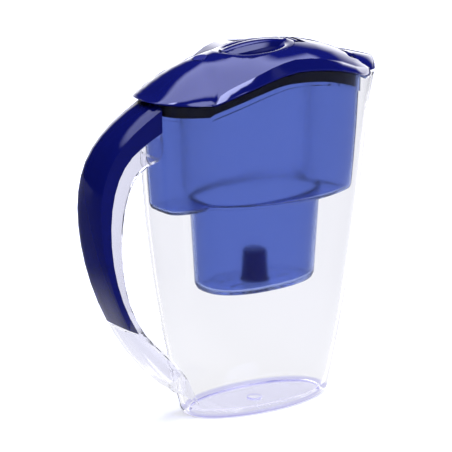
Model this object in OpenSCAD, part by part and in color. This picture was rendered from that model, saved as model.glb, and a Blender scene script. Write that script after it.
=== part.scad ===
/* [Jug] */
// Length of the foot, from the handle end to the spout end
foot_l = 118; // [114:1:122]
// Width of the foot
foot_w = 60; // [54:1:66]
// Height of the jug's rim at its highest point
rim_h = 250; // [244:1:256]
// Drop of the rim from its highest point to the corner beside the handle
rim_drop = 21; // [18:0.5:24]
// Greatest width of the jug at the rim
jug_w = 99; // [94:1:106]
// Distance from the middle of the foot to the jug's handle end at the rim
jug_back = 91; // [88:1:94]
// Distance from the middle of the foot to the jug's spout end at the rim, without the beak
jug_front = 89; // [85:1:93]
// Length that the pouring beak adds to the spout end
beak_l = 10.5; // [8:0.5:14]
// Thickness of the jug's wall
jug_wall = 2.6; // [2:0.1:3.2]
// Thickness of the jug's floor
floor_t = 3.2; // [2.4:0.2:4.4]
// Height of the foot rim that the jug stands on
foot_h = 2; // [1:0.25:3]

/* [Handle] */
// Width of the handle
handle_w = 29; // [26:0.5:32]
// Depth of the blue cover, as a share of the handle's depth
cover_share = 0.5; // [0.44:0.02:0.56]
// Wall of the blue cover
cover_wall = 2.4; // [2:0.1:3]
// Wall of the clear channel behind the cover
channel_wall = 2.6; // [2:0.1:3]

/* [Hopper] */
// Height of the hopper's floor above the table
hopper_z = 153.5; // [146:0.5:160]
// Wall of the hopper
hopper_wall = 2.2; // [1.8:0.1:2.6]
// Height of the hopper's collar under the rim
collar_h = 10; // [8:0.5:14]
// Step from the collar in to the wall below it
collar_step = 1.2; // [0.8:0.1:1.6]
// Thickness of the lip that hangs on the jug's rim
lip_t = 1.2; // [1:0.1:1.8]
// Depth of the concave pouring channel in the hopper's spout end
pour_depth = 27; // [23:1:29]
// Length of the cartridge pocket at its mouth
pocket_l = 100; // [92:1:104]
// Width of the cartridge pocket at its mouth
pocket_w = 62; // [56:1:66]
// Draft of the pocket's sides, from mouth to floor
pocket_draft = 4; // [2:0.5:5]
// Depth of the pocket under the hopper
pocket_h = 65; // [56:1:70]
// Diameter of the centring post in the pocket
post_d = 18; // [15:0.5:21]
// Height of the centring post
post_h = 22; // [16:1:28]

/* [Lid] */
// Height of the lid's crown above the jug's rim
crown_rise = 12.3; // [11:0.1:14]
// Thickness of the lid's shell
lid_wall = 2.4; // [2:0.1:3]
// Depth of the lid's inner skirt below the lip
skirt_h = 8; // [5:0.5:9]
// Thickness of the inner skirt
skirt_t = 1.8; // [1.5:0.1:2.2]
// Length of the filling flap
flap_l = 64; // [60:0.5:66]
// Width of the filling flap
flap_w = 42; // [38:0.5:44]
// Depth of the finger wells in the flap
well_d = 6.5; // [5:0.5:7]
// Width of the bridge grip
grip_w = 9; // [7:0.5:11]
// Height that the bridge grip stands above the crown
grip_rise = 2.8; // [1:0.2:4]
// Half-width of the spout flap at its hinge
beak_flap_w = 19; // [17:0.5:20]

/* [Indicator] */
// Diameter of the indicator button
button_d = 10; // [8:0.5:12]
// Travel of the indicator button
button_travel = 1.2; // [0.8:0.1:1.4]
// Diameter of the battery
cell_d = 20; // [19:0.5:20.5]
// Thickness of the battery
cell_t = 3.2; // [2.4:0.2:3.4]

/* [Fits] */
// Gap between faces that nest but do not turn
seat_gap = 0.3; // [0.2:0.05:0.4]
// Radial running clearance of pins in their bores
pin_fit = 0.04; // [0.02:0.01:0.08]
// Diameter of the hinge pins
pin_d = 2.4; // [2:0.1:3]

/* [Hidden] */

// --- plan outlines -------------------------------------------------------------------------------
// Steps along one half of an outline, and the step at which the crease beside the handle stands
half_n = 28;
crease_n = 7;
// Top of the space that the outlines are drawn in, above every rim
top_z = rim_h + 6;
// The jug's plan at that height is a wide lens that runs into a narrow tongue at the handle end
lens_x = 11;
lens_back = 77;
lens_back_p = 1.8;
lens_front_p = 2.3;
tongue_p = 3.2;
tongue_w = 51;
lens_front = jug_front - lens_x;
crease_a = asin(pow(tongue_w / jug_w, lens_back_p / 2));
crease_x = lens_x - lens_back * pow(cos(crease_a), 2 / lens_back_p);
// How fast each side of the jug reaches its full size with height
flare_back = 2.3;
flare_front = 1.64;
flare_side = 2;

function mix(a, b, t) = a + (b - a) * t;
function clamp(v, lo, hi) = min(max(v, lo), hi);
function smooth(t) = let (u = clamp(t, 0, 1)) u * u * (3 - 2 * u);
function flare(z, k) = 1 - pow(1 - clamp(z, 0, top_z) / top_z, k);
// Angle around the lens at step i, from the crease to the spout
function lens_a(i) = mix(crease_a, 180, (i - crease_n) / (half_n - crease_n));
function tongue_pt(v) = [
  crease_x - (crease_x + jug_back) * pow(cos(v), 2 / tongue_p),
  tongue_w / 2 * pow(sin(v), 2 / tongue_p)];
function lens_pt(a) = a < 90
  ? [lens_x - lens_back * pow(cos(a), 2 / lens_back_p), jug_w / 2 * pow(sin(a), 2 / lens_back_p)]
  : [lens_x + lens_front * pow(-cos(a), 2 / lens_front_p), jug_w / 2 * pow(abs(sin(a)), 2 / lens_front_p)];
function top_pt(i) = i < crease_n ? tongue_pt(90 * i / crease_n) : lens_pt(lens_a(i));
function foot_pt(i) = let (a = 180 * i / half_n)
  [-foot_l / 2 * cos(a), foot_w / 2 * pow(abs(sin(a)), 0.92)];
// One point of the jug's outer face, at step i of the half outline and height z
function jug_pt(i, z) = let (t = top_pt(i), f = foot_pt(i))
  [mix(f[0], t[0], flare(z, mix(flare_back, flare_front, i / half_n))),
   mix(f[1], t[1], flare(z, flare_side))];
// The full ring, counter-clockwise from the spout's middle
function ring(half) = concat([for (i = [half_n:-1:0]) half[i]],
  [for (i = [1:half_n - 1]) [half[i][0], -half[i][1]]]);
function jug_ring(z) = ring([for (i = [0:half_n]) jug_pt(i, z)]);
// The same ring with the pouring beak drawn out of it
beak_z = rim_h - 72;
beak_steps = 6;
function beak_pt(i, z) = let (p = jug_pt(i, z), t = (i - half_n + beak_steps) / beak_steps)
  [p[0] + beak_l * pow(smooth(t), 1.3) * pow(clamp((z - beak_z) / (rim_at(95) - beak_z), 0, 1.3), 1.6), p[1]];
function beak_ring(z) = ring([for (i = [0:half_n]) beak_pt(i, z)]);
// A ring moved inward by d, along the mean normal of the sides that meet at each point
function unit(v) = v / max(norm(v), 0.001);
function inset(r, d) = let (n = len(r)) [for (i = [0:n - 1])
  let (a = r[(i + n - 1) % n], b = r[i], c = r[(i + 1) % n],
       e = unit(unit(b - a) + unit(c - b)))
  b + d * [-e[1], e[0]]];
function at_z(r, z) = [for (p = r) [p[0], p[1], z]];

// Cuts through the lid start below it, at this height, and are this tall
low_z = rim_h - 45;
cut_h = 80;

// --- the rim ----------------------------------------------------------------------------------------
// Height of the jug's rim at x: a gently rising stretch over the tongue, then an arch to the spout
tongue_rise = 0.13;
arch_front = 72;
arch_back_p = 1.45;
spout_x = 70;
spout_slope = 0.13;
function arch(x) = x < 0
  ? rim_h - rim_drop * pow(min(x / crease_x, 1), arch_back_p)
  : rim_h - (rim_drop - 3) * pow(x / arch_front, 2);
function rim_at(x) = x < crease_x ? rim_h - rim_drop + tongue_rise * (crease_x - x)
  : x < spout_x ? arch(x) : arch(spout_x) - spout_slope * (x - spout_x);
rim_xs = concat([-170, crease_x], [for (x = [crease_x + 3:5:spout_x - 2]) x], [spout_x, 120]);
// Everything between two heights over the rim, as a prism across the whole width
module rim_band(lo, hi) {
  rotate([90, 0, 0])
    linear_extrude(height = 160, center = true)
      polygon(concat([for (x = rim_xs) [x, rim_at(x) + hi]],
        [for (i = [len(rim_xs) - 1:-1:0]) [rim_xs[i], rim_at(rim_xs[i]) + lo]]));
}
module below_rim(rise) {
  rotate([90, 0, 0])
    linear_extrude(height = 160, center = true)
      polygon(concat([for (x = rim_xs) [x, rim_at(x) + rise]],
        [[rim_xs[len(rim_xs) - 1], -10], [rim_xs[0], -10]]));
}

// --- solids from rings and grids -----------------------------------------------------------------
// A solid through a stack of rings, each with as many points
module loft(rings) {
  n = len(rings[0]);
  m = len(rings);
  polyhedron(
    points = [for (r = rings) each r],
    faces = concat(
      [[for (i = [0:n - 1]) i]],
      [for (k = [0:m - 2]) for (i = [0:n - 1]) let (j = (i + 1) % n)
        each [[k * n + i, (k + 1) * n + i, (k + 1) * n + j], [k * n + i, (k + 1) * n + j, k * n + j]]],
      [[for (i = [0:n - 1]) m * n - 1 - i]]));
}
// A skin between two grids of points, rows by columns, closed along its four edges
module skin(top, low) {
  rows = len(top);
  cols = len(top[0]);
  half = rows * cols;
  function id(s, i, j) = s * half + i * cols + j;
  polyhedron(
    points = concat([for (r = top) each r], [for (r = low) each r]),
    faces = concat(
      [for (i = [0:rows - 2]) for (j = [0:cols - 2]) each [
        [id(0, i, j), id(0, i, j + 1), id(0, i + 1, j + 1)],
        [id(0, i, j), id(0, i + 1, j + 1), id(0, i + 1, j)],
        [id(1, i, j), id(1, i + 1, j + 1), id(1, i, j + 1)],
        [id(1, i, j), id(1, i + 1, j), id(1, i + 1, j + 1)]]],
      [for (i = [0:rows - 2]) each [
        [id(0, i, 0), id(0, i + 1, 0), id(1, i + 1, 0)], [id(0, i, 0), id(1, i + 1, 0), id(1, i, 0)],
        [id(0, i + 1, cols - 1), id(0, i, cols - 1), id(1, i, cols - 1)],
        [id(0, i + 1, cols - 1), id(1, i, cols - 1), id(1, i + 1, cols - 1)]]],
      [for (j = [0:cols - 2]) each [
        [id(0, 0, j + 1), id(0, 0, j), id(1, 0, j)], [id(0, 0, j + 1), id(1, 0, j), id(1, 0, j + 1)],
        [id(0, rows - 1, j), id(0, rows - 1, j + 1), id(1, rows - 1, j + 1)],
        [id(0, rows - 1, j), id(1, rows - 1, j + 1), id(1, rows - 1, j)]]]));
}

// --- the handle -------------------------------------------------------------------------------------
// Outer line of the handle and inner line of the hand gap, seen from the side, as Bezier curves
handle_out = [[1 - jug_back, 0.944 * rim_h], [-66.4 - jug_back, 0.8032 * rim_h],
  [-64.8 - jug_back, 0.7208 * rim_h], [-45.6 - jug_back, 0.218 * rim_h], [-1 - foot_l / 2, 0.056 * rim_h]];
handle_in = [[9 - jug_back, 0.784 * rim_h], [-27.1 - jug_back, 0.7312 * rim_h],
  [-28.3 - jug_back, 0.8752 * rim_h], [-57.4 - jug_back, 0.0316 * rim_h],
  [10.3 - jug_back, 0.4032 * rim_h], [1 - foot_l / 2, 0.048 * rim_h]];
handle_steps = 18;
function bezier(p, t) = len(p) == 1 ? p[0]
  : bezier([for (i = [0:len(p) - 2]) p[i] * (1 - t) + p[i + 1] * t], t);
// A point at share a of the handle's depth (0 at the hand gap, 1 at the back) and offset b across it
function handle_pt(t, a, b) = let (p = bezier(handle_in, t), q = bezier(handle_out, t), c = p + (q - p) * a)
  [c[0], b, c[1]];
function handle_depth(t) = norm(bezier(handle_out, t) - bezier(handle_in, t));
// A bar swept along the handle, from share t0 to t1, through sections that give [share, offset] points
module handle_bar(ts, section) {
  loft([for (t = ts) [for (s = section(t)) handle_pt(t, s[0], -s[1])]]);
}
function steps(t0, t1) = let (n = ceil((t1 - t0) * handle_steps)) [for (k = [0:n]) mix(t0, t1, k / n)];
half_w = handle_w / 2;
// The cover ends above the foot of the handle
cover_end = 0.74;

// --- the hopper -------------------------------------------------------------------------------------
// Steps over which the spout end dips into the pouring channel
pour_steps = 7;
hopper_in = jug_wall + seat_gap;
function hopper_pt(i, z) = let (p = jug_pt(i, z), t = clamp((i - half_n + pour_steps) / pour_steps, 0, 1))
  [p[0] - pour_depth * smooth(t), p[1]];
function hopper_ring(z, d) = at_z(inset(ring([for (i = [0:half_n]) hopper_pt(i, z)]), hopper_in + d), z);
function oval(l, w, n, p = 2.3) = [for (k = [0:n - 1]) let (a = 360 * k / n)
  [l / 2 * sign(cos(a)) * pow(abs(cos(a)), 2 / p), w / 2 * sign(sin(a)) * pow(abs(sin(a)), 2 / p)]];
pocket_n = 48;
pocket_z = hopper_z - pocket_h;
// Ring of the pocket's outer face at depth h under the hopper, moved in by d
function pocket_ring(h, d, z) = let (s = 2 * pocket_draft * h / pocket_h)
  at_z(oval(pocket_l - s - 2 * d, pocket_w - s * 0.75 - 2 * d, pocket_n), z);

// --- the lid ----------------------------------------------------------------------------------------
// The lid rests on the hopper's lip
lid_edge = lip_t + 2 * seat_gap;
lid_over = 1;
lid_back = jug_back + 6.5;
crown_h = rim_h + crown_rise;
crown_x = 8;
lid_front = lens_x + lens_front + 1;
// Height of the dome's ridge at x
ridge_back_drop = 27;
ridge_front_drop = 25;
function ridge(x) = x < crown_x
  ? crown_h - ridge_back_drop * pow((crown_x - x) / (crown_x + lid_back), 3.2)
  : crown_h - ridge_front_drop * pow((x - crown_x) / (lid_front - crown_x), 2.3);
lid_tongue = tongue_w / 2 + lid_over;
lid_half = jug_w / 2 + lid_over;
// Share of the way from the crease to the handle end, and from the lens's middle to the spout end
function to_back(x, t) = clamp((crease_x - x) / (lid_back + crease_x - t), 0, 1);
function to_front(x, t) = clamp((x - lens_x) / (lid_front - lens_x - t), 0, 1);
// Half-width of the lid at x, with its outline moved in by t
function lid_w(x, t) = x < crease_x
  ? (lid_tongue - t) * pow(1 - pow(to_back(x, t), 2.6), 1 / 2.6)
  : x < lens_x
    ? (lid_half - t) * pow(1 - pow((lens_x - x) / (lens_back + lid_over - t * 0.4), lens_back_p),
        1 / lens_back_p)
    : (lid_half - t) * pow(1 - pow(to_front(x, t), lens_front_p), 1 / lens_front_p);
// The share of its height that the dome keeps as it closes down at both ends
function nose(x, t) = sqrt(1 - pow(to_back(x, t), 4)) * sqrt(1 - pow(to_front(x, t), 10));
// Half-width of the dome inside the crease, which leaves the rim at the corner
dome_half = 34;
dome_narrow = 3;
function dome_w(x, t) = let (w = lid_w(x, t))
  x < crease_x ? w - 0.35
  : min(w * 0.93, mix(lid_tongue - 0.5, dome_half, sin(90 * clamp((x - crease_x) / 45, 0, 1))) - t * 0.3
      - dome_narrow * smooth((x + 10) / 40));
function edge_z(x) = rim_at(x) + lid_edge;
// Height of the crease above the lid's edge
face_h = 1.1;
corner_rise = 5.6;
side_rise = 3;
function crease_rise(x) = max(face_h + 0.2,
  min(mix(corner_rise, side_rise, smooth((x - crease_x) / 35)) * smooth((x - crease_x + 2) / 7)
      + 1.5 * smooth(x / 15),
    (ridge(x) - edge_z(x)) / 2));
// Bulge of the section over the tongue, which changes to that of the dome beside the crease
function blend(x) = smooth((x - crease_x + 3) / 30);
function bulge(x, q) = mix(pow(1 - pow(q, 2.5), 0.6), 1 - pow(q, 2.2), blend(x));
// Height of the dome at share q of its half-width, with the shell's faces moved in by t
function dome_z(x, q, t) = let (e = edge_z(x), low = max(crease_rise(x) - t, 0.1), high = ridge(x) - t - e)
  e + nose(x, t) * mix(low, max(high, low), bulge(x, q));
lid_shares = [1, 0.94, 0.82, 0.64, 0.42, 0.2, 0];
function lid_row(x, t) = let (w = lid_w(x, t), d = dome_w(x, t),
    half = concat([[w, edge_z(x)], [w - 0.1, edge_z(x) + nose(x, t) * max(face_h - t, 0.05)]],
      [for (q = lid_shares) [d * q, dome_z(x, q, t)]]))
  concat([for (p = half) [x, -p[0], p[1]]], [for (k = [len(half) - 2:-1:0]) [x, half[k][0], half[k][1]]]);
// Stations along the lid, closer together at its rounded ends and at the corner
function lid_xs(t) = concat(
  [for (k = [0:7]) crease_x - (lid_back + crease_x - t) * cos(mix(3, 84, k / 7))],
  [for (k = [0:8]) mix(crease_x, lens_x, pow(k / 8, 1.4))],
  [for (k = [1:8]) lens_x + (lid_front - lens_x - t) * sin(87 * k / 8)]);
function lid_rows(t) = [for (x = lid_xs(t)) lid_row(x, t)];
// The filling flap lies in an oval hole in the crown
flap_x = -2;

// Moulding pad in the middle of the underside, level with the foot rim
gate_d = 10.6;

// --- the jug ----------------------------------------------------------------------------------------
jug_zs = concat([foot_h + 1.5], top_z * [0.07, 0.156, 0.273, 0.41, 0.566, 0.723, 0.84, 0.922, 1]);
module jug_outer() {
  loft(concat(
    [at_z(inset(jug_ring(0), 3), 0), at_z(inset(jug_ring(0), 0.8), foot_h * 0.6)],
    [for (z = jug_zs) at_z(beak_ring(z), z)]));
}
module jug_cavity() {
  z0 = foot_h + floor_t;
  loft(concat(
    [at_z(inset(jug_ring(z0), jug_wall + 3), z0), at_z(inset(jug_ring(z0 + 2), jug_wall + 0.6), z0 + 2)],
    [for (z = [for (v = jug_zs) if (v > z0 + 6) v]) at_z(inset(beak_ring(z), jug_wall), z + 0.01)]));
}
module jug_body() {
  color([0.93, 0.94, 0.98, 0.35])
    difference() {
      intersection() {
        jug_outer();
        below_rim(0);
      }
      jug_cavity();
      // hollow under the foot, inside its rim
      translate([0, 0, -1])
        linear_extrude(height = foot_h + 1)
          difference() {
            polygon(inset(jug_ring(0), 6));
            circle(d = gate_d, $fn = 40);
          }
    }
}

// --- handle -----------------------------------------------------------------------------------------
// The handle's outer section: a web at the hand gap, flat sides, a ridge line and a rounded back
function mirrored(p) = concat(p, [for (k = [len(p) - 1:-1:0]) [p[k][0], -p[k][1]]]);
function web_edge(b) = [[0, b - 4], [0.1, b - 1.2], [0.24, b]];
function back_edge(b) = [[0.88, b], [0.93, b - 1.6], [0.975, b * 0.62], [0.995, b * 0.3]];
// What is cut away: a trough open at the back, and from foot_start on a hollow behind a closed back
foot_start = cover_end + 0.004;
foot_stop = 0.92;
function trough(t) = let (w = channel_wall / handle_depth(t), e = cover_share, b = half_w,
    in = b - channel_wall, back = 0.975 - w)
  mirrored(concat([[w, in - 1.2], [w * 1.3, in]], t > foot_start
    ? [[back - 0.09, in], [back - 0.04, b * 0.7], [back, b * 0.45]]
    : [[e, in], [e, b + 1], [1.2, b + 1]]));
module handle_channel() {
  color([0.93, 0.94, 0.98, 0.35])
    difference() {
      handle_bar(steps(0, 1), function(t) mirrored(concat(web_edge(half_w), back_edge(half_w))));
      handle_bar(concat(steps(-0.03, foot_start), steps(foot_start + 0.004, foot_stop)), function(t) trough(t));
      jug_outer();
    }
}
// Section of the cover: a shell that continues the flat sides and rounded back
function cover_section(t) = let (g = seat_gap / handle_depth(t), e = cover_share + g, b = half_w,
    w = cover_wall, d = handle_depth(t))
  mirrored(concat([[0.975 - w / d, b * 0.55], [0.87 - 1 / d, b - w], [e, b - w], [e, b]], back_edge(b)));
module handle_cover() {
  color("mediumblue")
    difference() {
      intersection() {
        handle_bar(steps(0, cover_end), function(t) cover_section(t));
        below_rim(lid_edge - seat_gap - 0.9);
      }
      jug_clearance();
    }
}
// The jug's outer face moved out by the seating gap, as room for what fits against it
module jug_clearance() {
  loft([for (z = top_z * [0.58, 0.723, 0.84, 0.922, 1]) at_z(inset(beak_ring(z), -seat_gap), z)]);
}

// --- hopper -----------------------------------------------------------------------------------------
hopper_zs = [for (k = [0.04, 0.2, 0.45, 0.66, 0.84, 1.02]) mix(hopper_z, top_z, k)];
module hopper_solid(d) {
  loft(concat([hopper_ring(hopper_z, d + 3.2), hopper_ring(hopper_z + 1.4, d + 0.7)],
    [for (z = hopper_zs) hopper_ring(z, d)]));
}
module hopper() {
  color([0.25, 0.33, 0.8, 0.6])
    difference() {
      intersection() {
        union() {
          hopper_solid(collar_step);
          intersection() {
            hopper_solid(0);
            rim_band(-collar_h, 10);
          }
          hopper_lip();
        }
        below_rim(seat_gap + lip_t);
      }
      hopper_inside();
      translate([0, 0, hopper_z - 1])
        linear_extrude(height = hopper_wall + 2)
          polygon([for (p = pocket_ring(0, hopper_wall, 0)) [p[0], p[1]]]);
    }
}
module hopper_inside() {
  d = collar_step + hopper_wall;
  z0 = hopper_z + hopper_wall;
  loft(concat([hopper_ring(z0, d + 2.4)], [for (z = hopper_zs) hopper_ring(z + 0.02, d)]));
}
// The lip that hangs on the jug's rim, open over the pouring channel
module hopper_lip() {
  intersection() {
    difference() {
      loft([for (z = top_z * [0.78, 0.86, 0.94, 1.01]) at_z(inset(jug_ring(z), 0.4), z)]);
      translate([lens_x + lens_front - pour_depth + 8, -24, low_z])
        cube([80, 48, cut_h]);
    }
    rim_band(seat_gap, seat_gap + lip_t);
  }
}
module cartridge_pocket() {
  color([0.25, 0.33, 0.8, 0.6])
    difference() {
      loft([pocket_ring(pocket_h, 3.5, pocket_z), pocket_ring(pocket_h, 1, pocket_z + 1.2),
        pocket_ring(pocket_h - 4, 0, pocket_z + 4), pocket_ring(0, 0, hopper_z)]);
      loft([pocket_ring(pocket_h, 3.5 + hopper_wall, pocket_z + hopper_wall),
        pocket_ring(pocket_h - 4, hopper_wall, pocket_z + 4 + hopper_wall),
        pocket_ring(0, hopper_wall, hopper_z + 0.1)]);
      translate([0, 0, pocket_z - 1])
        cylinder(h = 10, d = post_d - 2 * hopper_wall, $fn = 48);
      // outlet slots around the post
      for (k = [-1, 1])
        for (y = [-1, 1])
          translate([k * 20 - 5, y * 6 - 1.25, pocket_z - 1])
            cube([10, 2.5, 10]);
    }
}
module pocket_post() {
  color([0.16, 0.2, 0.6, 0.8])
    translate([0, 0, pocket_z + hopper_wall])
      rotate_extrude($fn = 64)
        polygon([[post_d / 2 - hopper_wall, 0], [post_d / 2 + 1.6, 0], [post_d / 2 + 0.4, 2],
          [post_d / 2 - 0.6, post_h - 1], [post_d / 2 - 1.6, post_h], [0, post_h],
          [0, post_h - hopper_wall], [post_d / 2 - hopper_wall - 0.6, post_h - hopper_wall]]);
}

// --- lid --------------------------------------------------------------------------------------------
// Oval outline of the filling flap, or of the hole around it
module flap_oval(gap) {
  translate([flap_x, 0])
    polygon(oval(flap_l + 2 * gap, flap_w + 2 * gap, 56, 2.1));
}
module lid_shell() {
  color("mediumblue")
    difference() {
      skin(lid_rows(0), lid_rows(lid_wall));
      translate([0, 0, low_z])
        linear_extrude(height = cut_h)
          flap_oval(seat_gap);
      // room for the filling flap's hinge
      translate([hinge_x - 5, -hinge_room / 2, low_z])
        cube([5 + knuckle_r + 1.8, hinge_room, cut_h]);
      // bay for the spout flap
      translate([spout_hinge_x - knuckle_r - 2 * seat_gap, -beak_flap_w - seat_gap, low_z])
        cube([60, 2 * (beak_flap_w + seat_gap), cut_h]);
      translate([button_x, 0, low_z])
        cylinder(h = cut_h, d = button_d + 2 * seat_gap, $fn = 48);
    }
}
// Space under the dome, from a height below the rim up to a gap under the shell
module under_dome(gap) {
  rows = lid_rows(lid_wall + gap);
  skin(rows, [for (r = rows) [for (p = r) [p[0], p[1], low_z]]]);
}
// Outline of the skirt, inside the hopper
function skirt_ring(d) = inset(ring([for (i = [0:half_n]) hopper_pt(i, rim_h - 14)]),
  hopper_in + collar_step + hopper_wall + seat_gap + 0.3 + d);
module lid_liner() {
  color("navy")
    intersection() {
      translate([0, 0, low_z + 1])
        linear_extrude(height = cut_h)
          difference() {
            polygon(skirt_ring(0));
            polygon(skirt_ring(skirt_t));
          }
      rim_band(-skirt_h, 40);
      under_dome(0.05);
    }
}

// --- hinges -----------------------------------------------------------------------------------------
knuckle_wall = 2.2;
knuckle_r = pin_d / 2 + knuckle_wall;
cheek_w = 2.6;
cheek_r = knuckle_r - 0.6;
module across(x, z, w, r) {
  translate([x, 0, z])
    rotate([90, 0, 0])
      cylinder(h = w, r = r, center = true, $fn = 48);
}
// A piece that turns on a pin: knuckle of width w, added to the children and bored through
module knuckled(x, z, w) {
  difference() {
    union() {
      children();
      across(x, z, w, knuckle_r);
    }
    across(x, z, 3 * w, pin_d / 2 + pin_fit);
  }
}
// Two bored cheeks that stand off a bar; the bar runs from the pin in the direction dir
module hinge_bracket(x, z, inner, dir, reach, low, high) {
  bar_x = dir > 0 ? 0 : -reach;
  difference() {
    for (s = [-1, 1])
      translate([x, s * (inner + cheek_w) / 2, z]) {
        rotate([90, 0, 0])
          cylinder(h = cheek_w, r = cheek_r, center = true, $fn = 48);
        translate([bar_x, -cheek_w / 2, low])
          cube([reach, cheek_w, high - low]);
      }
    across(x, z, 3 * inner, pin_d / 2 + pin_fit);
  }
  translate([x + (dir > 0 ? reach - 4 : -reach), -inner / 2, z + low])
    cube([4, inner, high - low]);
}

// --- filling flap -----------------------------------------------------------------------------------
// The flap's top at plan position [x, y]: a rim that follows the dome and a sunk dish inside it
function flap_top(x, y) = dome_z(x, min(abs(y) / dome_w(x, 0), 1), 0);
flap_rings = [1, 0.9, 0.78, 0.6, 0.35, 0.12];
flap_sides = 32;
flap_t = 2;
flap_taper = 0.95;
function flap_sink(r) = well_d * smooth((0.92 - r) / 0.55);
function flap_ring(r, k, drop) = [for (p = oval(flap_l * r, flap_w * r, flap_sides, 2.1))
  let (x = p[0] + flap_x)
  [flap_x + p[0] * k, p[1] * k, flap_top(x, p[1]) - 0.2 - flap_sink(r) - drop]];
hinge_x = flap_x + flap_l / 2 + 2.2;
hinge_z = ridge(hinge_x) - knuckle_r - 0.2;
knuckle_w = 11;
fill_inner = knuckle_w + 2 * seat_gap;
hinge_room = fill_inner + 2 * cheek_w + 4 * seat_gap;
module fill_flap() {
  color("mediumblue")
    knuckled(hinge_x, hinge_z, knuckle_w) {
      loft(concat([for (k = [len(flap_rings) - 1:-1:0]) flap_ring(flap_rings[k], flap_taper, flap_t)],
        [for (r = flap_rings) flap_ring(r, 1, 0)]));
      translate([hinge_x - 5, -knuckle_w / 2, hinge_z - 1])
        cube([5, knuckle_w, knuckle_r]);
    }
}
// The grip: an arched bar along the flap, with its foot in the dish
grip_l = flap_l - 8;
function grip_u(x) = (x - flap_x) / (grip_l / 2);
function grip_low(x) = flap_top(x, 0) - 0.2 - flap_sink(abs(x - flap_x) / (flap_l / 2)) + 0.05;
function grip_top(x) = max(flap_top(x, 0) + grip_rise * (1 - pow(grip_u(x), 2)) - 0.4, grip_low(x) + 1);
function grip_half(x) = grip_w / 2 * (1 - 0.65 * pow(abs(grip_u(x)), 3));
module flap_grip() {
  xs = [for (k = [0:16]) flap_x - grip_l / 2 * cos(180 * k / 16)];
  ys = [-1.2, -1, -0.7, -0.3, 0.3, 0.7, 1, 1.2];
  tops = [0.06, 0.78, 0.94, 1, 1, 0.94, 0.78, 0.06];
  color("mediumblue")
    skin(
      [for (x = xs) [for (k = [0:7]) [x, grip_half(x) * ys[k], mix(grip_low(x), grip_top(x), tops[k])]]],
      [for (x = xs) [for (k = [0:7]) [x, grip_half(x) * ys[k], grip_low(x)]]]);
}
module fill_flap_pin() {
  color("silver")
    across(hinge_x, hinge_z, fill_inner + 2 * cheek_w, pin_d / 2);
}
module fill_hinge_bracket() {
  color("navy")
    hinge_bracket(hinge_x, hinge_z, fill_inner, 1, 9, -3.4, -0.6);
}

// --- spout flap -------------------------------------------------------------------------------------
spout_hinge_x = 72.4;
spout_hinge_z = ridge(spout_hinge_x) - knuckle_r - 0.55;
spout_tip = 101;
spout_tip_z = rim_h - 11;
spout_inner = 17;
spout_t = 2;
function spout_u(x) = (x - spout_hinge_x) / (spout_tip - spout_hinge_x);
function spout_top(x) = mix(spout_hinge_z + knuckle_r, spout_tip_z, pow(spout_u(x), 1.12));
function spout_w(x) = beak_flap_w * pow(max(1 - pow(spout_u(x), 2.3), 0.04), 1 / 2.3);
spout_shares = [1, 0.94, 0.8, 0.55, 0.25];
function spout_row(x, t) =
  let (w = spout_w(x) - t, top = spout_top(x) - t, foot = min(edge_z(x) + 0.3, top - 0.5),
       half = [for (q = spout_shares) [x, w * q, foot + (top - foot) * pow(max(1 - pow(q, 3.4), 0), 0.6)]])
  concat([for (p = half) [x, -p[1], p[2]]], [for (k = [len(half) - 1:-1:0]) half[k]]);
module spout_flap() {
  xs = [for (k = [0:11]) mix(spout_hinge_x + 0.5, spout_tip - 0.6, sin(90 * k / 11))];
  color("mediumblue")
    knuckled(spout_hinge_x, spout_hinge_z, spout_inner - 2 * seat_gap)
      difference() {
        union() {
          skin([for (x = xs) spout_row(x, 0)], [for (x = xs) spout_row(x, spout_t)]);
          for (s = [-1, 1])
            translate([spout_hinge_x, s * (spout_inner / 2 + cheek_w + seat_gap + 2.4), spout_hinge_z])
              rotate([90, 0, 0])
                cylinder(h = 4.8, r = knuckle_r, center = true, $fn = 48);
        }
        for (s = [-1, 1])
          translate([spout_hinge_x - 8, s * (spout_inner + cheek_w) / 2 - cheek_w / 2 - seat_gap,
            spout_hinge_z - 12])
            cube([8 + cheek_r + seat_gap, cheek_w + 2 * seat_gap, 24]);
      }
}
module spout_flap_pin() {
  color("silver")
    across(spout_hinge_x, spout_hinge_z, spout_inner + 2 * (cheek_w + seat_gap + 4.8), pin_d / 2);
}
module spout_hinge_bracket() {
  color("navy")
    hinge_bracket(spout_hinge_x, spout_hinge_z, spout_inner, -1, 9, 0, 2.9);
}

// --- indicator --------------------------------------------------------------------------------------
button_x = -47;
button_z = ridge(button_x);
button_slope = atan((ridge(button_x + 1) - ridge(button_x - 1)) / 2);
stem_d = 5;
flange_t = 1;
flange_z = button_z - lid_wall - 2.7;
case_z = button_z - 12;
case_wall = 1.6;
case_r = cell_d / 2 + 4.8;
board_t = 1.2;
board_z = case_z - case_wall - seat_gap - board_t;
switch_z = board_z + board_t + case_wall + seat_gap + 0.4;
stem_z = switch_z + button_travel + 0.2;
cell_z = board_z - seat_gap - cell_t;
cover_t = 1.8;
cover_z = cell_z - seat_gap - cover_t;
screw_r = cell_d / 2 + 2.2;
screw_d = 2;
function disc_fn(r) = r > 8 ? 72 : 40;
module disc(z, h, r) {
  translate([button_x, 0, z])
    cylinder(h = h, r = r, $fn = disc_fn(r));
}
module indicator_button() {
  color("royalblue") {
    intersection() {
      disc(flange_z, 12, button_d / 2);
      translate([button_x, 0, button_z + 0.3])
        rotate([0, -button_slope, 0])
          translate([-20, -20, -20])
            cube([40, 40, 20]);
    }
    disc(flange_z, flange_t, button_d / 2 + 1.2);
    disc(stem_z, flange_z - stem_z + 0.1, stem_d / 2);
  }
}
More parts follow.
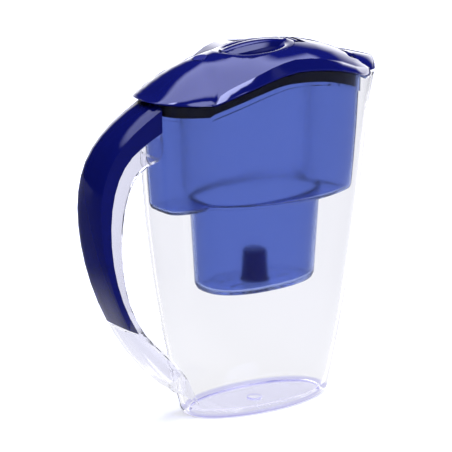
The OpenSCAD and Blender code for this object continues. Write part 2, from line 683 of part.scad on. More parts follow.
module button_spring() {
  wire = 0.5;
  r = stem_d / 2 + 1.1;
  turns = 4;
  rise = flange_z - case_z - wire - 0.04;
  steps = 10 * turns;
  function coil(k) = let (a = 360 * turns * k / steps) [for (s = [0:5]) let (q = 60 * s)
    [(r + wire / 2 * cos(q)) * cos(a), (r + wire / 2 * cos(q)) * sin(a),
     wire / 2 + 0.02 + rise * k / steps - wire / 2 * sin(q)]];
  color("silver")
    translate([button_x, 0, case_z])
      loft([for (k = [0:steps]) coil(k)]);
}
module indicator_case() {
  color("lightsteelblue")
    difference() {
      disc(cover_z + cover_t, case_z - cover_z - cover_t, case_r);
      difference() {
        disc(cover_z + cover_t - 1, case_z - case_wall - cover_z - cover_t + 1, case_r - case_wall);
        for (s = [-1, 1])
          translate([button_x + s * screw_r, 0, cover_z])
            cylinder(h = cell_z + cell_t - cover_z, r = screw_d / 2 + 1, $fn = 32);
      }
      disc(case_z - 4, 8, 3.4);
      for (s = [-1, 1])
        translate([button_x + s * screw_r, 0, cover_z])
          cylinder(h = cover_t + 4, r = screw_d / 2, $fn = 32);
    }
}
module indicator_board() {
  color("seagreen")
    disc(board_z, board_t, case_r - case_wall - seat_gap);
  color("silver")
    disc(board_z + board_t - 0.05, switch_z - board_z - board_t + 0.05, 2.6);
}
module coin_cell() {
  color("silver") {
    disc(cell_z + 0.5, cell_t - 0.5, cell_d / 2);
    disc(cell_z, 0.6, cell_d / 2 - 1.2);
  }
}
module indicator_cover() {
  color("lightsteelblue")
    difference() {
      disc(cover_z, cover_t, case_r);
      for (s = [-1, 1])
        translate([button_x + s * screw_r, 0, cover_z - 1])
          cylinder(h = cover_t + 2, r = screw_d / 2 + 0.1, $fn = 32);
    }
}
module indicator_screws() {
  color("silver")
    for (s = [-1, 1])
      translate([button_x + s * screw_r, 0, cover_z]) {
        translate([0, 0, -1.1])
          cylinder(h = 1.1, r = screw_d, $fn = 32);
        translate([0, 0, -0.1])
          cylinder(h = cover_t + 3.4, r = screw_d / 2 - 0.02, $fn = 32);
      }
}

jug_body();
handle_channel();
handle_cover();
hopper();
cartridge_pocket();
pocket_post();
lid_shell();
lid_liner();
fill_flap();
flap_grip();
fill_flap_pin();
fill_hinge_bracket();
spout_flap();
spout_flap_pin();
spout_hinge_bracket();
indicator_button();
button_spring();
indicator_case();
indicator_board();
coin_cell();
indicator_cover();
indicator_screws();
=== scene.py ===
"""Water filter pitcher with flip lid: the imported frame, dressed for its looks."""
import math

import bpy
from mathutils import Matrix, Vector


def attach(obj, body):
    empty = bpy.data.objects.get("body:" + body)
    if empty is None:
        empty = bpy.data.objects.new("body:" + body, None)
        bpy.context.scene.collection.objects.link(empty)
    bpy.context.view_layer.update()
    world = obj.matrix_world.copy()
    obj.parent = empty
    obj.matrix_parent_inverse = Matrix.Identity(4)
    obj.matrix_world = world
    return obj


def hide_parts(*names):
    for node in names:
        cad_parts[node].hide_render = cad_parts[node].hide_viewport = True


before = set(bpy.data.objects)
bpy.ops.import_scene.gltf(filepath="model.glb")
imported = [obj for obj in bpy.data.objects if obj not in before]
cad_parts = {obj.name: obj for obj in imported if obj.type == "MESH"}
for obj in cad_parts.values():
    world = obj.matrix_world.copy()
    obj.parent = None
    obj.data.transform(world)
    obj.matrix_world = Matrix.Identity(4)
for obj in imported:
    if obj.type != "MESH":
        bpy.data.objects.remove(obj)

bl_info = {
    "name": "Filter Pitcher",
    "version": (1, 0, 0),
    "blender": (4, 5, 0),
    "location": "View3D > Sidebar > Pitcher",
    "description": "Dresses the frame of a water filter pitcher and lights it",
    "category": "Object",
}

MM = 0.001


# --- settings -------------------------------------------------------------------------------------
def colour(name, description, default):
    return bpy.props.FloatVectorProperty(
        name=name, description=description, subtype="COLOR", size=4, min=0, max=1, default=default
    )


class PitcherColours(bpy.types.PropertyGroup):
    """Colours of the pitcher's plastics and metal."""

    clear: colour("Clear plastic", "Jug", (0.97, 0.97, 0.98, 1))
    channel: colour("Clear channel", "Handle channel, thicker and so a little deeper", (0.9, 0.9, 0.965, 1))
    # foot line: partly the deeper tint of the thick foot rim, partly a painted reflection of the lavender light the rim
    # bends and mirrors
    foot_tint_and_painted_glint: colour("Foot line", "Tint gathered in the thick foot rim", (0.46, 0.45, 0.84, 1))
    tinted: colour("Tinted plastic", "Hopper and filter pocket", (0.325, 0.41, 0.76, 1))
    post: colour("Centring post", "Post in the filter pocket", (0.02, 0.03, 0.3, 1))
    blue: colour("Lid blue", "Opaque lid, flaps and handle cover", (0.005, 0.008, 0.115, 1))
    # painted shade: the parts under the lid are navy moulding, coloured near black for the shade they sit in
    navy: colour("Dark mouldings", "Parts under the lid", (0.003, 0.002, 0.02, 1))
    steel: colour("Steel", "Pins, screws and spring", (0.62, 0.62, 0.64, 1))
    board: colour("Circuit board", "Solder mask of the indicator's board", (0.02, 0.16, 0.05, 1))
    floor: colour("Floor", "Plain pale floor", (0.92, 0.92, 0.93, 1))


class PitcherSizes(bpy.types.PropertyGroup):
    """Sizes of the finish and of the studio."""

    smooth_angle: bpy.props.FloatProperty(
        name="Smoothing angle", description="Faces that meet at less than this read as one", subtype="ANGLE",
        default=math.radians(30), min=0.1, max=1.5,
    )
    merge: bpy.props.FloatProperty(
        name="Merge distance", description="Corners closer than this become one", subtype="DISTANCE",
        default=0.00001, min=0.000001, max=0.001, precision=6,
    )
    camera_distance: bpy.props.FloatProperty(
        name="Camera distance", description="From the camera to the pitcher", subtype="DISTANCE", default=3.0,
        min=0.5, max=10,
    )
    lens: bpy.props.FloatProperty(
        name="Lens", description="Focal length in millimetres", default=339.3, min=50, max=800,
    )


def colours():
    return bpy.context.scene.pitcher_colours


def sizes():
    return bpy.context.scene.pitcher_sizes


# --- shader nodes ---------------------------------------------------------------------------------
def node(tree, kind, where, **values):
    """Adds a shader node at a grid place and sets its plain properties."""
    made = tree.nodes.new(kind)
    made.location = (where[0] * 220, -where[1] * 180)
    for key, value in values.items():
        setattr(made, key, value)
    return made


def feed(tree, source, target):
    """Feeds a node's input: from another node's output, or with a plain value."""
    if isinstance(source, bpy.types.NodeSocket):
        tree.links.new(source, target)
    else:
        target.default_value = source


def calc(tree, where, operation, *values, clamp=False):
    """The result of a Math node over outputs and plain numbers."""
    made = node(tree, "ShaderNodeMath", where, operation=operation, use_clamp=clamp)
    for value, target in zip(values, made.inputs):
        feed(tree, value, target)
    return made.outputs["Value"]


def calc_vector(tree, where, operation, *values):
    """The one number that a Vector Math node gives for its vectors."""
    made = node(tree, "ShaderNodeVectorMath", where, operation=operation)
    for value, target in zip(values, made.inputs):
        feed(tree, value, target)
    return made.outputs["Value"]


def rise(tree, where, value, low, high, bottom=0.0, top=1.0, kind="SMOOTHSTEP"):
    """Goes from bottom to top as a value goes from low to high."""
    made = node(tree, "ShaderNodeMapRange", where, interpolation_type=kind)
    for title, number in (("From Min", low), ("From Max", high), ("To Min", bottom), ("To Max", top)):
        made.inputs[title].default_value = number
    feed(tree, value, made.inputs["Value"])
    return made.outputs["Result"]


def blend(tree, where, factor, first, second):
    """A colour between two."""
    made = node(tree, "ShaderNodeMix", where, data_type="RGBA")
    for title, source in (("Factor", factor), ("A", first), ("B", second)):
        feed(tree, source, made.inputs[title])
    return made.outputs["Result"]


def noise(tree, where, place, scale, **values):
    """Noise over a place."""
    made = node(tree, "ShaderNodeTexNoise", where)
    feed(tree, place, made.inputs["Vector"])
    feed(tree, scale, made.inputs["Scale"])
    for title, value in values.items():
        made.inputs[title].default_value = value
    return made.outputs["Fac"]


def object_place(tree, where):
    """The place on the object, in metres."""
    return node(tree, "ShaderNodeTexCoord", where).outputs["Object"]


def group_shell(name, inputs, outputs):
    """An empty node group with named sockets: (name, socket type, default), and its two end nodes."""
    tree = bpy.data.node_groups.new(name, "ShaderNodeTree")
    for title, kind, default in inputs:
        socket = tree.interface.new_socket(title, in_out="INPUT", socket_type=kind)
        if default is not None:
            socket.default_value = default
    for title, kind in outputs:
        tree.interface.new_socket(title, in_out="OUTPUT", socket_type=kind)
    return tree, node(tree, "NodeGroupInput", (-5, 0)), node(tree, "NodeGroupOutput", (5, 0))


def mould_finish_group():
    """Slow sink-mark waves and fine handling marks of a moulded surface."""
    name = "mould_finish"
    if name in bpy.data.node_groups:
        return bpy.data.node_groups[name]
    number = "NodeSocketFloat"
    tree, given, out = group_shell(
        name,
        [("Gloss", number, 0.05), ("Marks", number, 0.04), ("Wave Scale", number, 22.0), ("Mark Scale", number, 260.0)],
        [("Roughness", number), ("Height", number)],
    )
    place = object_place(tree, (-4, 1))
    waves = noise(tree, (-3, 0), place, given.outputs["Wave Scale"], Detail=1.5)
    marks = noise(tree, (-3, 2), place, given.outputs["Mark Scale"], Detail=5, Roughness=0.62)
    spread = rise(tree, (-1, 2), marks, 0.42, 0.75, kind="LINEAR")
    marked = calc(tree, (1, 1), "MULTIPLY", spread, given.outputs["Marks"])
    feed(tree, calc(tree, (2, 1), "ADD", marked, given.outputs["Gloss"]), out.inputs["Roughness"])
    feed(tree, waves, out.inputs["Height"])
    return tree


def pigment_flow_group():
    """Two close shades of one pigment, flowing slowly through the moulding."""
    name = "pigment_flow"
    if name in bpy.data.node_groups:
        return bpy.data.node_groups[name]
    shade = "NodeSocketColor"
    tree, given, out = group_shell(
        name,
        [("Colour", shade, None), ("Deep Colour", shade, None), ("Scale", "NodeSocketFloat", 14.0)],
        [("Colour", shade)],
    )
    flow = noise(tree, (-3, 1), object_place(tree, (-4, 1)), given.outputs["Scale"], Detail=2, Distortion=0.6)
    feed(tree, blend(tree, (0, 0), flow, given.outputs["Colour"], given.outputs["Deep Colour"]), out.inputs["Colour"])
    return tree


def darker(c, k):
    return (c[0] * k, c[1] * k, c[2] * k, 1)


def new_material(name):
    """An empty material, its node tree and its output node."""
    made = bpy.data.materials.new(name)
    made.use_nodes = True
    tree = made.node_tree
    tree.nodes.clear()
    return made, tree, node(tree, "ShaderNodeOutputMaterial", (4, 0))


def material(name, base, deep=0.8, gloss=0.05, marks=0.04, bump=0.02, wave=22.0, **sockets):
    """A moulded plastic or metal: base colour that flows a little, roughness with marks, slow surface waves."""
    made, tree, out = new_material(name)
    shader = node(tree, "ShaderNodeBsdfPrincipled", (2, 0))
    finish = node(tree, "ShaderNodeGroup", (-1, 2), node_tree=mould_finish_group())
    for title, value in (("Gloss", gloss), ("Marks", marks), ("Wave Scale", wave)):
        finish.inputs[title].default_value = value
    flow = node(tree, "ShaderNodeGroup", (-1, 0), node_tree=pigment_flow_group())
    flow.inputs["Colour"].default_value = tuple(base)
    flow.inputs["Deep Colour"].default_value = darker(base, deep)
    relief = node(tree, "ShaderNodeBump", (0, 3))
    relief.inputs["Strength"].default_value = 1
    relief.inputs["Distance"].default_value = bump * MM
    feed(tree, finish.outputs["Height"], relief.inputs["Height"])
    feed(tree, flow.outputs["Colour"], shader.inputs["Base Color"])
    feed(tree, finish.outputs["Roughness"], shader.inputs["Roughness"])
    feed(tree, relief.outputs["Normal"], shader.inputs["Normal"])
    for title, value in sockets.items():
        shader.inputs[title.replace("_", " ")].default_value = value
    feed(tree, shader.outputs["BSDF"], out.inputs["Surface"])
    return made


def tint_by_height(made, low_colour, low, high):
    """Blends a material's base colour to low_colour below a height, in metres."""
    tree = made.node_tree
    base = next(n for n in tree.nodes if n.type == "BSDF_PRINCIPLED").inputs["Base Color"]
    before = base.links[0].from_socket
    split = node(tree, "ShaderNodeSeparateXYZ", (-2, -2))
    feed(tree, object_place(tree, (-3, -2)), split.inputs["Vector"])
    height = rise(tree, (-1, -2), split.outputs["Z"], low, high)
    feed(tree, blend(tree, (1, -2), height, tuple(low_colour), before), base)


# --- helpers for pieces ---------------------------------------------------------------------------
def nothing_selected():
    if bpy.context.mode != "OBJECT":
        bpy.ops.object.mode_set(mode="OBJECT")
    bpy.ops.object.select_all(action="DESELECT")


def pick(obj):
    nothing_selected()
    obj.hide_set(False)
    obj.select_set(True)
    bpy.context.view_layer.objects.active = obj


# --- the lid's shading, in metres and degrees -----------------------------------------------------
LID_HALF_LENGTH, LID_HALF_WIDTH = 0.095, 0.0505
# the recess for the filling flap and the hole for the button, both on the lid's middle line
RECESS_MIDDLE, RECESS_HALF_LENGTH, RECESS_HALF_WIDTH = -0.002, 0.035, 0.024
BUTTON_MIDDLE, BUTTON_ROOM = -0.047, 0.008
# where the crease is sharp, and how near it an edge counts as on it, and a corner
CREASE_START, CREASE_END, CREASE_FOOT = -0.053, 0.043, 0.231
CREASE_REACH, CREASE_BAND = 0.0012, 0.0015
# the shoulder outside the crease, and the narrow lens beside the crease where it leans less
SHOULDER_START, SHOULDER_TILT = -0.0525, 66
LENS_TILT, LENS_HEADING = 59, Vector((-0.42, -0.907, 0))
# the dome inside the crease: its steepest tilt high up, and its least tilt beside the crease
DOME_MOST, DOME_LEAST = 46, 33
# how much the heading at the lid's corner leans to the handle, and what it gains over CORNER_TURN
CORNER_LEAN, CORNER_LEAN_MORE = 0.1, 0.25
# faces that point up at least so much are bent; corners that are nearly upright or nearly level aren't
UP_FACE, UP_CORNER, LEVEL_TILT = 0.1, 0.2, 0.02
# spans (low, high) over which a share is eased: along the lid, across it from the crease, or up it. The dome keeps
# its own shading past DOME_FADE, and DOME_LEAST holds beside the crease from LEAST_FROM to LEAST_TO
SHOULDER_FADE, SHOULDER_TURN = (0.06, 0.085), (0.055, 0.08)
LENS_ALONG, LENS_ACROSS = (-0.026, -0.012), (0.001, 0.0045)
DOME_FADE, DOME_RISE = (0.02, 0.05), (0.2372, 0.2392)
CORNER_ALONG, CORNER_ACROSS, CORNER_RISE = (-0.064, -0.056), (0.003, 0.012), (0.235, 0.2372)
CORNER_TURN = (-0.056, -0.045)
LEAST_FROM, LEAST_TO, LEAST_ACROSS = (-0.05, -0.035), (-0.005, 0.018), (0, 0.009)


def lid_crease(x):
    """Half-width of the lid's crease at x, as the lid's solid has it: wider from the corner on, then a little less."""
    along = min(max((x + 0.052) / 0.045, 0), 1)
    late = min(max((x + 0.01) / 0.04, 0), 1)
    return 0.026 + 0.008 * math.sin(math.pi / 2 * along) - 0.003 * late * late * (3 - 2 * late)


def eased(value, low, high):
    """0 below low, 1 above high, and a smooth rise between them."""
    part = min(max((value - low) / (high - low), 0), 1)
    return part * part * (3 - 2 * part)


def tilted(heading, tilt):
    """A direction that leans from straight up towards a heading, by an angle."""
    return Vector((heading.x * math.sin(tilt), heading.y * math.sin(tilt), math.cos(tilt)))


def shoulder_normal(place, normal, heading, gap):
    """A steep shoulder outside the crease, flatter in a narrow lens beside it, and its own near the spout."""
    outwards = Vector((place.x / LID_HALF_LENGTH**2, place.y / LID_HALF_WIDTH**2, 0)).normalized()
    outwards = outwards.lerp(heading, eased(place.x, *SHOULDER_TURN)).normalized()
    lens = (1 - eased(place.x, *LENS_ALONG)) * (1 - eased(-gap, *LENS_ACROSS))
    outwards = outwards.lerp(LENS_HEADING, lens).normalized()
    steep = math.radians(SHOULDER_TILT - (SHOULDER_TILT - LENS_TILT) * lens)
    return normal.lerp(tilted(outwards, steep), 1 - eased(place.x, *SHOULDER_FADE)).normalized()


def dome_normal(place, heading, tilt, gap):
    """An even dome: never steep high up or at the corner, never flat beside the crease, and its own near the spout."""
    kept = 1 - eased(place.x, *DOME_FADE)
    corner = (1 - eased(gap, *CORNER_ACROSS)) * eased(place.x, *CORNER_ALONG) * kept
    least = math.radians(DOME_LEAST) * (1 - eased(gap, *LEAST_ACROSS)) * (1 - eased(place.x, *LEAST_TO))
    tilt = max(tilt, least * eased(place.x, *LEAST_FROM))
    lean = CORNER_LEAN + CORNER_LEAN_MORE * eased(place.x, *CORNER_TURN)
    square = Vector((-lean, math.copysign(1, place.y), 0)).normalized()
    heading = heading.lerp(square, corner).normalized()
    share = max(eased(place.z, *DOME_RISE), corner * eased(place.z, *CORNER_RISE)) * kept
    return tilted(heading, tilt + (min(tilt, math.radians(DOME_MOST)) - tilt) * share)


def lid_normal(place, normal, middle):
    """The lid's shading normal at a corner of a face whose middle is given; the far shoulder keeps its own."""
    tilt = math.atan2(math.hypot(normal.x, normal.y), normal.z)
    if normal.z < UP_CORNER or tilt < LEVEL_TILT:
        return normal
    heading = Vector((normal.x, normal.y, 0)).normalized()
    gap = lid_crease(place.x) - abs(place.y)
    on_crease = abs(gap) < CREASE_BAND and place.x < CREASE_END
    across = middle if on_crease else place
    if abs(across.y) <= lid_crease(across.x) or middle.x <= SHOULDER_START:
        return dome_normal(place, heading, tilt, gap)
    return normal if place.y > 0 else shoulder_normal(place, normal, heading, gap)


def even_lid(mesh):
    """Gives the lid's corners their even shading normals, away from its holes."""
    bent = []
    for face in mesh.polygons:
        x, y = face.center.x, face.center.y
        in_recess = ((x - RECESS_MIDDLE) / RECESS_HALF_LENGTH) ** 2 + (y / RECESS_HALF_WIDTH) ** 2 <= 1
        at_button = math.hypot(x - BUTTON_MIDDLE, y) <= BUTTON_ROOM
        free = not in_recess and not at_button and face.normal.z > UP_FACE
        for k in face.loop_indices:
            normal = mesh.corner_normals[k].vector.copy()
            place = mesh.vertices[mesh.loops[k].vertex_index].co
            bent.append(lid_normal(place, normal, face.center) if free else normal)
    mesh.normals_split_custom_set(bent)


def sharpen_crease(mesh):
    """Marks the lid's crease sharp on both sides, from the corner until it fades over the dome."""
    for edge in mesh.edges:
        ends = [mesh.vertices[k].co for k in edge.vertices]
        along = all(CREASE_START < p.x < CREASE_END and p.z > CREASE_FOOT for p in ends)
        if along and all(abs(abs(p.y) - lid_crease(p.x)) < CREASE_REACH for p in ends):
            edge.use_edge_sharp = True


# --- pieces ---------------------------------------------------------------------------------------
def smooth_skin(name, title, body, finish, angle=None, mark=None, even=None):
    """Replaces a CAD node by a joined, smooth-shaded copy of it.

    mark sets sharp edges before the normals are weighted, and even changes the normals after that.
    """
    pick(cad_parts[name])
    bpy.ops.object.duplicate()
    piece = bpy.context.view_layer.objects.active
    piece.parent = None
    piece.matrix_world.identity()
    piece.name = piece.data.name = title
    bpy.ops.object.mode_set(mode="EDIT")
    bpy.ops.mesh.select_all(action="SELECT")
    bpy.ops.mesh.remove_doubles(threshold=sizes().merge)
    bpy.ops.object.mode_set(mode="OBJECT")
    bpy.ops.object.shade_smooth_by_angle(angle=angle or sizes().smooth_angle)
    if mark:
        mark(piece.data)
    bpy.ops.object.modifier_add(type="WEIGHTED_NORMAL")
    piece.modifiers[-1].keep_sharp = True
    piece.modifiers[-1].weight = 80
    bpy.ops.object.modifier_apply(modifier=piece.modifiers[-1].name)
    if even:
        even(piece.data)
    piece.data.materials.clear()
    piece.data.materials.append(finish)
    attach(piece, body)
    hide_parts(name)


def dress(name, finish):
    """Gives a CAD node its finish."""
    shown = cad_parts[name]
    for place in shown.material_slots:
        place.material = finish
    if not shown.material_slots:
        shown.data.materials.append(finish)


class PitcherOperator(bpy.types.Operator):
    bl_options = {"REGISTER", "UNDO"}


class PITCHER_OT_clear_jug(PitcherOperator):
    """Clear jug and the clear channel of its handle"""

    bl_idname = "pitcher.clear_jug"
    bl_label = "Clear jug"

    def execute(self, context):
        clear = material(
            "clear_plastic", colours().clear, deep=0.985, gloss=0.015, marks=0.015, bump=0.012,
            Transmission_Weight=1.0, IOR=1.04, Coat_Weight=0.25,
        )
        # painted reflection: a band at the bottom of the jug takes the foot-line colour, standing in for the lavender
        # light the thick rim bends and mirrors, partly its deeper tint
        foot_low, foot_high = 0.0012, 0.0034
        tint_by_height(clear, colours().foot_tint_and_painted_glint, foot_low, foot_high)
        smooth_skin("jug_body", "clear_jug", "jug", clear)
        channel = material(
            "channel_plastic", colours().channel, deep=0.97, gloss=0.03, marks=0.015, bump=0.012,
            Transmission_Weight=1.0, IOR=1.1, Coat_Weight=0.3,
        )
        smooth_skin("handle_channel", "clear_handle_channel", "jug", channel)
        return {"FINISHED"}


class PITCHER_OT_handle_cover(PitcherOperator):
    """Opaque cover that snaps over the handle"""

    bl_idname = "pitcher.handle_cover"
    bl_label = "Handle cover"

    def execute(self, context):
        blue = material(
            "handle_blue_plastic", darker(colours().blue, 0.8), gloss=0.06, marks=0.03, bump=0.03,
            Coat_Weight=0.3, Coat_Roughness=0.03, IOR=1.4,
        )
        smooth_skin("handle_cover", "blue_handle_cover", "jug", blue)
        return {"FINISHED"}


class PITCHER_OT_hopper(PitcherOperator):
    """Tinted hopper with its filter pocket and centring post"""

    bl_idname = "pitcher.hopper"
    bl_label = "Hopper and pocket"

    def execute(self, context):
        tinted = material(
            "tinted_plastic", colours().tinted, deep=0.94, gloss=0.27, marks=0.0, bump=0.0,
            Transmission_Weight=1.0, IOR=1.2,
        )
        post = material(
            "post_plastic", colours().post, deep=0.9, gloss=0.1, marks=0.03, bump=0.0,
            Transmission_Weight=0.3, IOR=1.3,
        )
        smooth_skin("hopper", "tinted_hopper", "hopper", tinted)
        smooth_skin("cartridge_pocket", "tinted_pocket", "hopper", tinted)
        smooth_skin("pocket_post", "tinted_post", "hopper", post)
        return {"FINISHED"}


class PITCHER_OT_lid(PitcherOperator):
    """Domed lid with its skirt, filling flap and spout flap"""

    bl_idname = "pitcher.lid"
    bl_label = "Lid and flaps"

    def execute(self, context):
        blue = material(
            "lid_blue_plastic", colours().blue, gloss=0.05, marks=0.025, bump=0.03,
            Coat_Weight=0.6, Coat_Roughness=0.02, IOR=1.5,
        )
        # painted shade: the lid's skirt and the hinge brackets get near-black navy for the shade under the lid
        navy = material(
            "navy_painted_shade", colours().navy, gloss=0.16, marks=0.06, bump=0.02, Specular_IOR_Level=0.03,
        )
        smooth_skin("lid_shell", "blue_lid_shell", "lid", blue, mark=sharpen_crease, even=even_lid)
        smooth_skin("fill_flap", "blue_fill_flap", "fill_flap", blue)
        smooth_skin("flap_grip", "blue_flap_grip", "fill_flap", blue, angle=math.radians(50))
        smooth_skin("spout_flap", "blue_spout_flap", "spout_flap", blue)
        smooth_skin("lid_liner", "dark_lid_skirt", "lid", navy)
        dress("fill_hinge_bracket", navy)
        dress("spout_hinge_bracket", navy)
        return {"FINISHED"}


class PITCHER_OT_indicator(PitcherOperator):
    """Change indicator: button, spring, case, board, battery, cover and screws"""

    bl_idname = "pitcher.indicator"
    bl_label = "Change indicator"

    def execute(self, context):
        button = material(
            "button_plastic", (0.02, 0.025, 0.2, 1), gloss=0.08, marks=0.03, bump=0.02, Coat_Weight=0.6,
        )
        case = material(
            "indicator_case_plastic", (0.02, 0.024, 0.12, 1), gloss=0.4, marks=0.1, bump=0.06, wave=900.0,
        )
        board = material("solder_mask", colours().board, gloss=0.3, marks=0.1, bump=0.05, wave=600.0)
        steel = material(
            "drawn_steel", colours().steel, gloss=0.22, marks=0.15, bump=0.02, wave=500.0, Metallic=1.0,
        )
        dress("indicator_button", button)
        dress("indicator_case", case)
        dress("indicator_cover", case)
        dress("indicator_board", board)
        for name in ("button_spring", "coin_cell", "indicator_screws", "fill_flap_pin", "spout_flap_pin"):
            dress(name, steel)
        return {"FINISHED"}


# --- stage ----------------------------------------------------------------------------------------
# patches of light in the sky: direction, degrees of full light, degrees where it ends, level, level outside
KEY_OVERHEAD = ((0.08, -0.17, 0.98), 27, 43, 4.2, 0.03)
PATCH_NEAR_SIDE = ((-0.12, -0.71, 0.69), 5, 9, 11.0, 0.0)
PATCH_LOW_FRONT = ((0.45, -0.87, 0.19), 9, 16, 4.5, 0.0)
# the white sweep behind: its direction in degrees, how far to the sides and how high it goes, and its level
SWEEP_TURN, SWEEP_SIDES, SWEEP_TOP, SWEEP_LEVEL = 42, (0.67, 0.87), (0.48, 0.16), 2.2
SKY_COLOUR, SWEEP_COLOUR, WHITE = (0.58, 0.62, 1, 1), (0.97, 0.97, 1, 1), (1, 1, 1, 1)
INSIDE_COLOUR = (0.25, 0.25, 0.34, 1)
FLOOR_SIZE = 12
# the floor: its glow when seen straight or through plastic, and inside it, and its tone otherwise
FLOOR_SEEN, FLOOR_THROUGH, FLOOR_INSIDE, FLOOR_DIM = 0.5, 0.4, 0.3, 0.08
# the floor's glow in reflections: far off in one direction, round a place behind, and round the foot
FAR_TURN, FAR_SPAN, FAR_LEVEL = 36, (-0.1, 0.7), 0.15
BEHIND_PLACE, BEHIND_SPAN, BEHIND_LEVEL = (0.28, 0.42, 0), (0.5, 0.3), 0.9
FOOT_SPAN, FOOT_LEVEL = (0.3, 0.1), 0.85
# the camera: degrees to the side and up, what it circles, and how far off that it aims
VIEW_TURN, VIEW_RISE = 36, 17
VIEW_TARGET, VIEW_OFFSET = (0, 0, 0.13), (-0.0163, 0.0118, -0.0008)


def away(turn):
    """The level direction at an angle clockwise from +y, in degrees."""
    return (math.sin(math.radians(turn)), math.cos(math.radians(turn)), 0)


def area_lamp(name, place, aim, width, height, power):
    nothing_selected()
    bpy.ops.object.light_add(type="AREA", location=place)
    lamp = bpy.context.view_layer.objects.active
    lamp.name = lamp.data.name = name
    lamp.data.shape = "RECTANGLE"
    lamp.data.size = width
    lamp.data.size_y = height
    lamp.data.energy = power
    lamp.visible_glossy = False
    lamp.rotation_euler = (Vector(aim) - Vector(place)).to_track_quat("-Z", "Y").to_euler()


def ray_kinds(tree, row):
    """Light Path, and 1 for rays seen straight or through clear plastic, for mirrored ones, and for those through."""
    path = node(tree, "ShaderNodeLightPath", (-6, row))
    mirrored = calc(tree, (-5, row), "MINIMUM", path.outputs["Glossy Depth"], 1)
    through = calc(tree, (-4, row), "SUBTRACT", path.outputs["Is Transmission Ray"], mirrored, clamp=True)
    seen = calc(tree, (-3, row), "MAXIMUM", path.outputs["Is Camera Ray"], through)
    return path, seen, mirrored, through


def glow_patch(tree, row, way, towards, inner, outer, level, dim):
    """A round patch of soft light in the sky: full within inner degrees of a direction, dim from outer degrees on."""
    aimed = calc_vector(tree, (-3, row), "DOT_PRODUCT", way, Vector(towards).normalized())
    return rise(tree, (-2, row), aimed, math.cos(math.radians(outer)), math.cos(math.radians(inner)), dim, level)


def background(tree, where, tint, strength):
    """Light of one colour from all round, at a strength."""
    made = node(tree, "ShaderNodeBackground", where)
    made.inputs["Color"].default_value = tint
    feed(tree, strength, made.inputs["Strength"])
    return made.outputs["Background"]


def both(tree, where, first, second):
    """Two shaders added up."""
    made = node(tree, "ShaderNodeAddShader", where)
    feed(tree, first, made.inputs[0])
    feed(tree, second, made.inputs[1])
    return made.outputs["Shader"]


def studio_world():
    """A dark studio: a white sweep behind, a large key overhead, and two small patches of light on the near side.

    Rays that are seen straight or through clear plastic get plain white instead.
    """
    world = bpy.context.scene.world or bpy.data.worlds.new("studio")
    bpy.context.scene.world = world
    world.use_nodes = True
    tree = world.node_tree
    tree.nodes.clear()
    way = node(tree, "ShaderNodeTexCoord", (-6, 0)).outputs["Generated"]
    split = node(tree, "ShaderNodeSeparateXYZ", (-5, 0))
    feed(tree, way, split.inputs["Vector"])
    low = rise(tree, (-4, 0), split.outputs["Z"], *SWEEP_TOP, top=SWEEP_LEVEL)
    behind = calc_vector(tree, (-4, 1), "DOT_PRODUCT", way, away(SWEEP_TURN))
    sweep = calc(tree, (-2, 0), "MULTIPLY", low, rise(tree, (-3, 1), behind, *SWEEP_SIDES))
    key = glow_patch(tree, 2, way, *KEY_OVERHEAD)
    level = calc(tree, (-1, 2), "ADD", key, glow_patch(tree, 4, way, *PATCH_NEAR_SIDE))
    level = calc(tree, (0, 3), "ADD", level, glow_patch(tree, 6, way, *PATCH_LOW_FRONT))
    path, seen, mirrored, _ = ray_kinds(tree, -2)
    # light that is mirrored inside clear plastic picks up its edge tint
    inside = calc(tree, (0, -3), "MULTIPLY", path.outputs["Transmission Depth"], mirrored, clamp=True)
    room = both(
        tree, (3, 2), background(tree, (2, 1), SKY_COLOUR, level), background(tree, (2, 3), SWEEP_COLOUR, sweep)
    )
    mixed = node(tree, "ShaderNodeMixShader", (4, 0))
    feed(tree, seen, mixed.inputs["Fac"])
    feed(tree, both(tree, (3, 3), room, background(tree, (2, 4), INSIDE_COLOUR, inside)), mixed.inputs[1])
    feed(tree, background(tree, (2, 2), WHITE, 1.0), mixed.inputs[2])
    feed(tree, mixed.outputs["Shader"], node(tree, "ShaderNodeOutputWorld", (5, 0)).inputs["Surface"])


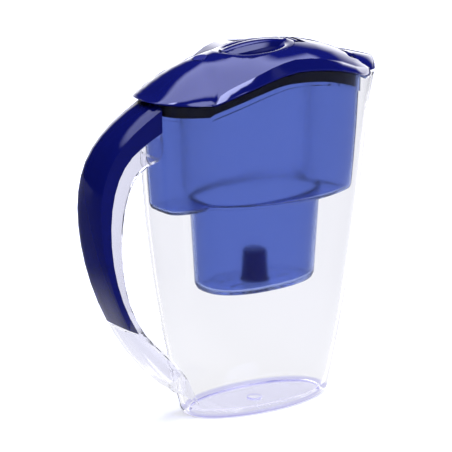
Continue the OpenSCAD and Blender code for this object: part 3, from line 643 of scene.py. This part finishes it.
def floor_finish():
    """Pale floor that reads white to the camera and through clear plastic, and keeps a soft shadow.

    In reflections it is dark, and glows behind the pitcher and close to its foot.
    """
    made, tree, out = new_material("pale_floor")
    path, seen, mirrored, through = ray_kinds(tree, 2)
    unlit = calc(tree, (-1, 1), "MAXIMUM", mirrored, path.outputs["Is Transmission Ray"])
    tone = blend(tree, (-1, 0), unlit, tuple(colours().floor), darker(colours().floor, FLOOR_DIM))
    matt = node(tree, "ShaderNodeBsdfDiffuse", (0, 0))
    feed(tree, tone, matt.inputs["Color"])
    level = calc(tree, (0, 2), "MULTIPLY", seen, FLOOR_SEEN)
    level = calc(tree, (0, 3), "MULTIPLY_ADD", through, FLOOR_THROUGH, level)
    place = object_place(tree, (-4, 5))
    far = rise(
        tree, (-2, 5), calc_vector(tree, (-3, 5), "DOT_PRODUCT", place, away(FAR_TURN)), *FAR_SPAN, top=FAR_LEVEL
    )
    behind = rise(
        tree, (-2, 8), calc_vector(tree, (-3, 8), "DISTANCE", place, BEHIND_PLACE), *BEHIND_SPAN, top=BEHIND_LEVEL
    )
    foot = rise(tree, (-2, 7), calc_vector(tree, (-3, 7), "LENGTH", place), *FOOT_SPAN, top=FOOT_LEVEL)
    brightest = calc(tree, (-1, 7), "MAXIMUM", calc(tree, (-1, 8), "MAXIMUM", far, behind), foot)
    reflected = calc(tree, (-1, 5), "MULTIPLY", brightest, mirrored)
    inside = calc(tree, (-1, 6), "MULTIPLY", path.outputs["Transmission Depth"], mirrored, clamp=True)
    reflected = calc(tree, (0, 5), "MULTIPLY_ADD", inside, FLOOR_INSIDE, reflected)
    glow = node(tree, "ShaderNodeEmission", (2, 1))
    glow.inputs["Color"].default_value = WHITE
    feed(tree, calc(tree, (1, 4), "ADD", level, reflected), glow.inputs["Strength"])
    feed(tree, both(tree, (3, 0), matt.outputs["BSDF"], glow.outputs["Emission"]), out.inputs["Surface"])
    return made


class PITCHER_OT_stage(PitcherOperator):
    """Pale floor, studio light and the camera"""

    bl_idname = "pitcher.stage"
    bl_label = "Stage"

    def execute(self, context):
        nothing_selected()
        bpy.ops.mesh.primitive_plane_add(size=FLOOR_SIZE)
        floor = bpy.context.view_layer.objects.active
        floor.name = floor.data.name = "floor"
        floor.data.materials.append(floor_finish())
        studio_world()
        area_lamp("top_softbox", (0.1, 0.35, 1.8), aim=(0, 0, 0.1), width=1.2, height=1.2, power=8)
        distance = sizes().camera_distance
        turn, climb = math.radians(VIEW_TURN), math.radians(VIEW_RISE)
        target = Vector(VIEW_TARGET)
        place = target + distance * Vector(
            (-math.sin(turn) * math.cos(climb), -math.cos(turn) * math.cos(climb), math.sin(climb))
        )
        aim = target + Vector(VIEW_OFFSET)
        bpy.ops.object.camera_add(location=place, rotation=(aim - place).to_track_quat("-Z", "Y").to_euler())
        camera = bpy.context.view_layer.objects.active
        camera.name = camera.data.name = "camera"
        camera.data.lens = sizes().lens
        camera.data.sensor_width = 36
        context.scene.camera = camera
        context.scene.view_settings.view_transform = "Standard"
        return {"FINISHED"}


class PITCHER_PT_pieces(bpy.types.Panel):
    """Lists the pitcher's pieces in the sidebar"""

    bl_idname = "PITCHER_PT_pieces"
    bl_label = "Pitcher"
    bl_space_type = "VIEW_3D"
    bl_region_type = "UI"
    bl_category = "Pitcher"

    def draw(self, context):
        for operator in OPERATORS:
            self.layout.operator(operator.bl_idname)
        for name in PitcherColours.__annotations__:
            self.layout.prop(context.scene.pitcher_colours, name)
        for name in PitcherSizes.__annotations__:
            self.layout.prop(context.scene.pitcher_sizes, name)


OPERATORS = (
    PITCHER_OT_clear_jug,
    PITCHER_OT_handle_cover,
    PITCHER_OT_hopper,
    PITCHER_OT_lid,
    PITCHER_OT_indicator,
    PITCHER_OT_stage,
)
CLASSES = (PitcherColours, PitcherSizes) + OPERATORS + (PITCHER_PT_pieces,)


def register():
    for cls in CLASSES:
        bpy.utils.register_class(cls)
    bpy.types.Scene.pitcher_colours = bpy.props.PointerProperty(type=PitcherColours)
    bpy.types.Scene.pitcher_sizes = bpy.props.PointerProperty(type=PitcherSizes)


def unregister():
    del bpy.types.Scene.pitcher_colours
    del bpy.types.Scene.pitcher_sizes
    for cls in reversed(CLASSES):
        bpy.utils.unregister_class(cls)


def main():
    register()
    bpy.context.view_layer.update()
    bpy.ops.pitcher.clear_jug()
    bpy.ops.pitcher.handle_cover()
    bpy.ops.pitcher.hopper()
    bpy.ops.pitcher.lid()
    bpy.ops.pitcher.indicator()
    bpy.ops.pitcher.stage()


if __name__ == "__main__":
    main()
